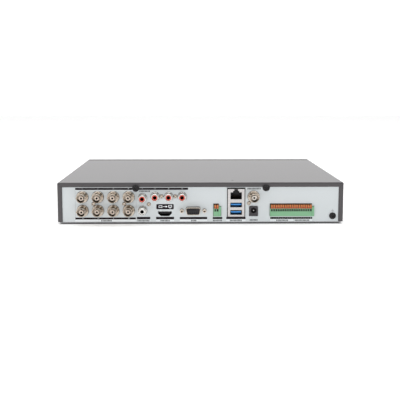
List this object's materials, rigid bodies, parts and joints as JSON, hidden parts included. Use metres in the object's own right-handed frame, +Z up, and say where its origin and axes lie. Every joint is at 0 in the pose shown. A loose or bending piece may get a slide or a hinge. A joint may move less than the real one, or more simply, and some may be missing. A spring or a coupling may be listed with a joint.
{
  "type": "digital video recorder",
  "caption": "Flat steel box with a plastic front and a rear panel of coaxial video, phono audio, network, USB, monitor, power and sprung wire terminals.",
  "frame": {"origin": "middle of the footprint at the underside of the feet", "axes": "+X along the width, to the left when seen from the rear; +Y out of the rear connector panel; +Z up"},
  "size_m": [0.3166, 0.254, 0.0465],
  "materials": {
    "panel_steel": "satin",
    "cover_paint": "satin",
    "bezel_plastic": "matte",
    "smoked_window": "gloss",
    "label_film": "satin",
    "foot_rubber": "matte",
    "circuit_board": "satin",
    "component_black": "matte",
    "bare_aluminium": "satin",
    "plated_steel": "satin",
    "disc_surface": "gloss",
    "lead_sheath": "satin",
    "ribbon_sheath": "satin",
    "socket_nickel": "gloss",
    "insulator_white": "satin",
    "contact_gold": "gloss",
    "audio_red": "satin",
    "audio_white": "satin",
    "usb_blue": "satin",
    "terminal_green": "satin",
    "lever_orange": "satin",
    "screw_black": "satin"
  },
  "bodies": {
    "recorder": {"chassis_base": "panel_steel", "top_cover": "cover_paint", "front_bezel": "bezel_plastic", "front_window": "smoked_window", "rear_label": "label_film", "rubber_feet": "foot_rubber", "main_board": "circuit_board", "board_components": "component_black", "heat_sink": "bare_aluminium", "front_board": "circuit_board", "front_usb_socket": "plated_steel", "hdd_base": "bare_aluminium", "hdd_cover": "plated_steel", "fan_frame": "component_black", "internal_leads": "lead_sheath", "front_panel_cable": "ribbon_sheath", "video_in_shells": "socket_nickel", "video_out_shell": "socket_nickel", "video_insulators": "insulator_white", "contact_pins": "contact_gold", "connector_housings": "component_black", "audio_shells": "socket_nickel", "audio_in_inserts": "audio_red", "audio_out_insert": "audio_white", "digital_video_shell": "plated_steel", "digital_video_tongue": "component_black", "dsub_shell": "socket_nickel", "dsub_insert": "component_black", "lan_usb_shield": "plated_steel", "lan_insert": "component_black", "usb_tongues": "usb_blue", "dc_jack": "component_black", "alarm_terminal_body": "terminal_green", "serial_terminal_body": "terminal_green", "rear_black_screws": "screw_black", "connector_screws": "socket_nickel", "machine_screws": "screw_black"},
    "fan_wheel": {"fan_rotor": "component_black"},
    "disc_pack": {"hdd_platters": "disc_surface"},
    "head_arm": {"hdd_head_arm": "bare_aluminium"},
    "alarm_lever_01": {"alarm_lever_01": "lever_orange"},
    "alarm_lever_02": {"alarm_lever_02": "lever_orange"},
    "alarm_lever_03": {"alarm_lever_03": "lever_orange"},
    "alarm_lever_04": {"alarm_lever_04": "lever_orange"},
    "alarm_lever_05": {"alarm_lever_05": "lever_orange"},
    "alarm_lever_06": {"alarm_lever_06": "lever_orange"},
    "alarm_lever_07": {"alarm_lever_07": "lever_orange"},
    "alarm_lever_08": {"alarm_lever_08": "lever_orange"},
    "alarm_lever_09": {"alarm_lever_09": "lever_orange"},
    "alarm_lever_10": {"alarm_lever_10": "lever_orange"},
    "alarm_lever_11": {"alarm_lever_11": "lever_orange"},
    "alarm_lever_12": {"alarm_lever_12": "lever_orange"},
    "alarm_lever_13": {"alarm_lever_13": "lever_orange"},
    "alarm_lever_14": {"alarm_lever_14": "lever_orange"},
    "alarm_lever_15": {"alarm_lever_15": "lever_orange"},
    "alarm_lever_16": {"alarm_lever_16": "lever_orange"},
    "alarm_lever_17": {"alarm_lever_17": "lever_orange"},
    "alarm_lever_18": {"alarm_lever_18": "lever_orange"},
    "serial_lever_01": {"serial_lever_01": "lever_orange"},
    "serial_lever_02": {"serial_lever_02": "lever_orange"}
  },
  "joints": [
    {"name": "fan_spin", "type": "hinge", "parent": "recorder", "child": "fan_wheel", "pos_m": [0.1503, -0.056, 0.024], "axis": [1, 0, 0], "continuous": true},
    {"name": "disc_spin", "type": "hinge", "parent": "recorder", "child": "disc_pack", "pos_m": [-0.096, -0.0582, 0.017], "axis": [0, 0, 1], "continuous": true},
    {"name": "head_swing", "type": "hinge", "parent": "recorder", "child": "head_arm", "pos_m": [-0.04, -0.0312, 0.017], "axis": [0, 0, 1], "range_deg": [0, 26]},
    {"name": "alarm_lever_01_press", "type": "slide", "parent": "recorder", "child": "alarm_lever_01", "axis": [0, -1, 0], "range_m": [0, 0.0015], "stiffness_N_per_m": 150, "springref_m": -0.0003},
    {"name": "alarm_lever_02_press", "type": "slide", "parent": "recorder", "child": "alarm_lever_02", "axis": [0, -1, 0], "range_m": [0, 0.0015], "stiffness_N_per_m": 150, "springref_m": -0.0003},
    {"name": "alarm_lever_03_press", "type": "slide", "parent": "recorder", "child": "alarm_lever_03", "axis": [0, -1, 0], "range_m": [0, 0.0015], "stiffness_N_per_m": 150, "springref_m": -0.0003},
    {"name": "alarm_lever_04_press", "type": "slide", "parent": "recorder", "child": "alarm_lever_04", "axis": [0, -1, 0], "range_m": [0, 0.0015], "stiffness_N_per_m": 150, "springref_m": -0.0003},
    {"name": "alarm_lever_05_press", "type": "slide", "parent": "recorder", "child": "alarm_lever_05", "axis": [0, -1, 0], "range_m": [0, 0.0015], "stiffness_N_per_m": 150, "springref_m": -0.0003},
    {"name": "alarm_lever_06_press", "type": "slide", "parent": "recorder", "child": "alarm_lever_06", "axis": [0, -1, 0], "range_m": [0, 0.0015], "stiffness_N_per_m": 150, "springref_m": -0.0003},
    {"name": "alarm_lever_07_press", "type": "slide", "parent": "recorder", "child": "alarm_lever_07", "axis": [0, -1, 0], "range_m": [0, 0.0015], "stiffness_N_per_m": 150, "springref_m": -0.0003},
    {"name": "alarm_lever_08_press", "type": "slide", "parent": "recorder", "child": "alarm_lever_08", "axis": [0, -1, 0], "range_m": [0, 0.0015], "stiffness_N_per_m": 150, "springref_m": -0.0003},
    {"name": "alarm_lever_09_press", "type": "slide", "parent": "recorder", "child": "alarm_lever_09", "axis": [0, -1, 0], "range_m": [0, 0.0015], "stiffness_N_per_m": 150, "springref_m": -0.0003},
    {"name": "alarm_lever_10_press", "type": "slide", "parent": "recorder", "child": "alarm_lever_10", "axis": [0, -1, 0], "range_m": [0, 0.0015], "stiffness_N_per_m": 150, "springref_m": -0.0003},
    {"name": "alarm_lever_11_press", "type": "slide", "parent": "recorder", "child": "alarm_lever_11", "axis": [0, -1, 0], "range_m": [0, 0.0015], "stiffness_N_per_m": 150, "springref_m": -0.0003},
    {"name": "alarm_lever_12_press", "type": "slide", "parent": "recorder", "child": "alarm_lever_12", "axis": [0, -1, 0], "range_m": [0, 0.0015], "stiffness_N_per_m": 150, "springref_m": -0.0003},
    {"name": "alarm_lever_13_press", "type": "slide", "parent": "recorder", "child": "alarm_lever_13", "axis": [0, -1, 0], "range_m": [0, 0.0015], "stiffness_N_per_m": 150, "springref_m": -0.0003},
    {"name": "alarm_lever_14_press", "type": "slide", "parent": "recorder", "child": "alarm_lever_14", "axis": [0, -1, 0], "range_m": [0, 0.0015], "stiffness_N_per_m": 150, "springref_m": -0.0003},
    {"name": "alarm_lever_15_press", "type": "slide", "parent": "recorder", "child": "alarm_lever_15", "axis": [0, -1, 0], "range_m": [0, 0.0015], "stiffness_N_per_m": 150, "springref_m": -0.0003},
    {"name": "alarm_lever_16_press", "type": "slide", "parent": "recorder", "child": "alarm_lever_16", "axis": [0, -1, 0], "range_m": [0, 0.0015], "stiffness_N_per_m": 150, "springref_m": -0.0003},
    {"name": "alarm_lever_17_press", "type": "slide", "parent": "recorder", "child": "alarm_lever_17", "axis": [0, -1, 0], "range_m": [0, 0.0015], "stiffness_N_per_m": 150, "springref_m": -0.0003},
    {"name": "alarm_lever_18_press", "type": "slide", "parent": "recorder", "child": "alarm_lever_18", "axis": [0, -1, 0], "range_m": [0, 0.0015], "stiffness_N_per_m": 150, "springref_m": -0.0003},
    {"name": "serial_lever_01_press", "type": "slide", "parent": "recorder", "child": "serial_lever_01", "axis": [0, -1, 0], "range_m": [0, 0.0015], "stiffness_N_per_m": 150, "springref_m": -0.0003},
    {"name": "serial_lever_02_press", "type": "slide", "parent": "recorder", "child": "serial_lever_02", "axis": [0, -1, 0], "range_m": [0, 0.0015], "stiffness_N_per_m": 150, "springref_m": -0.0003}
  ]
}
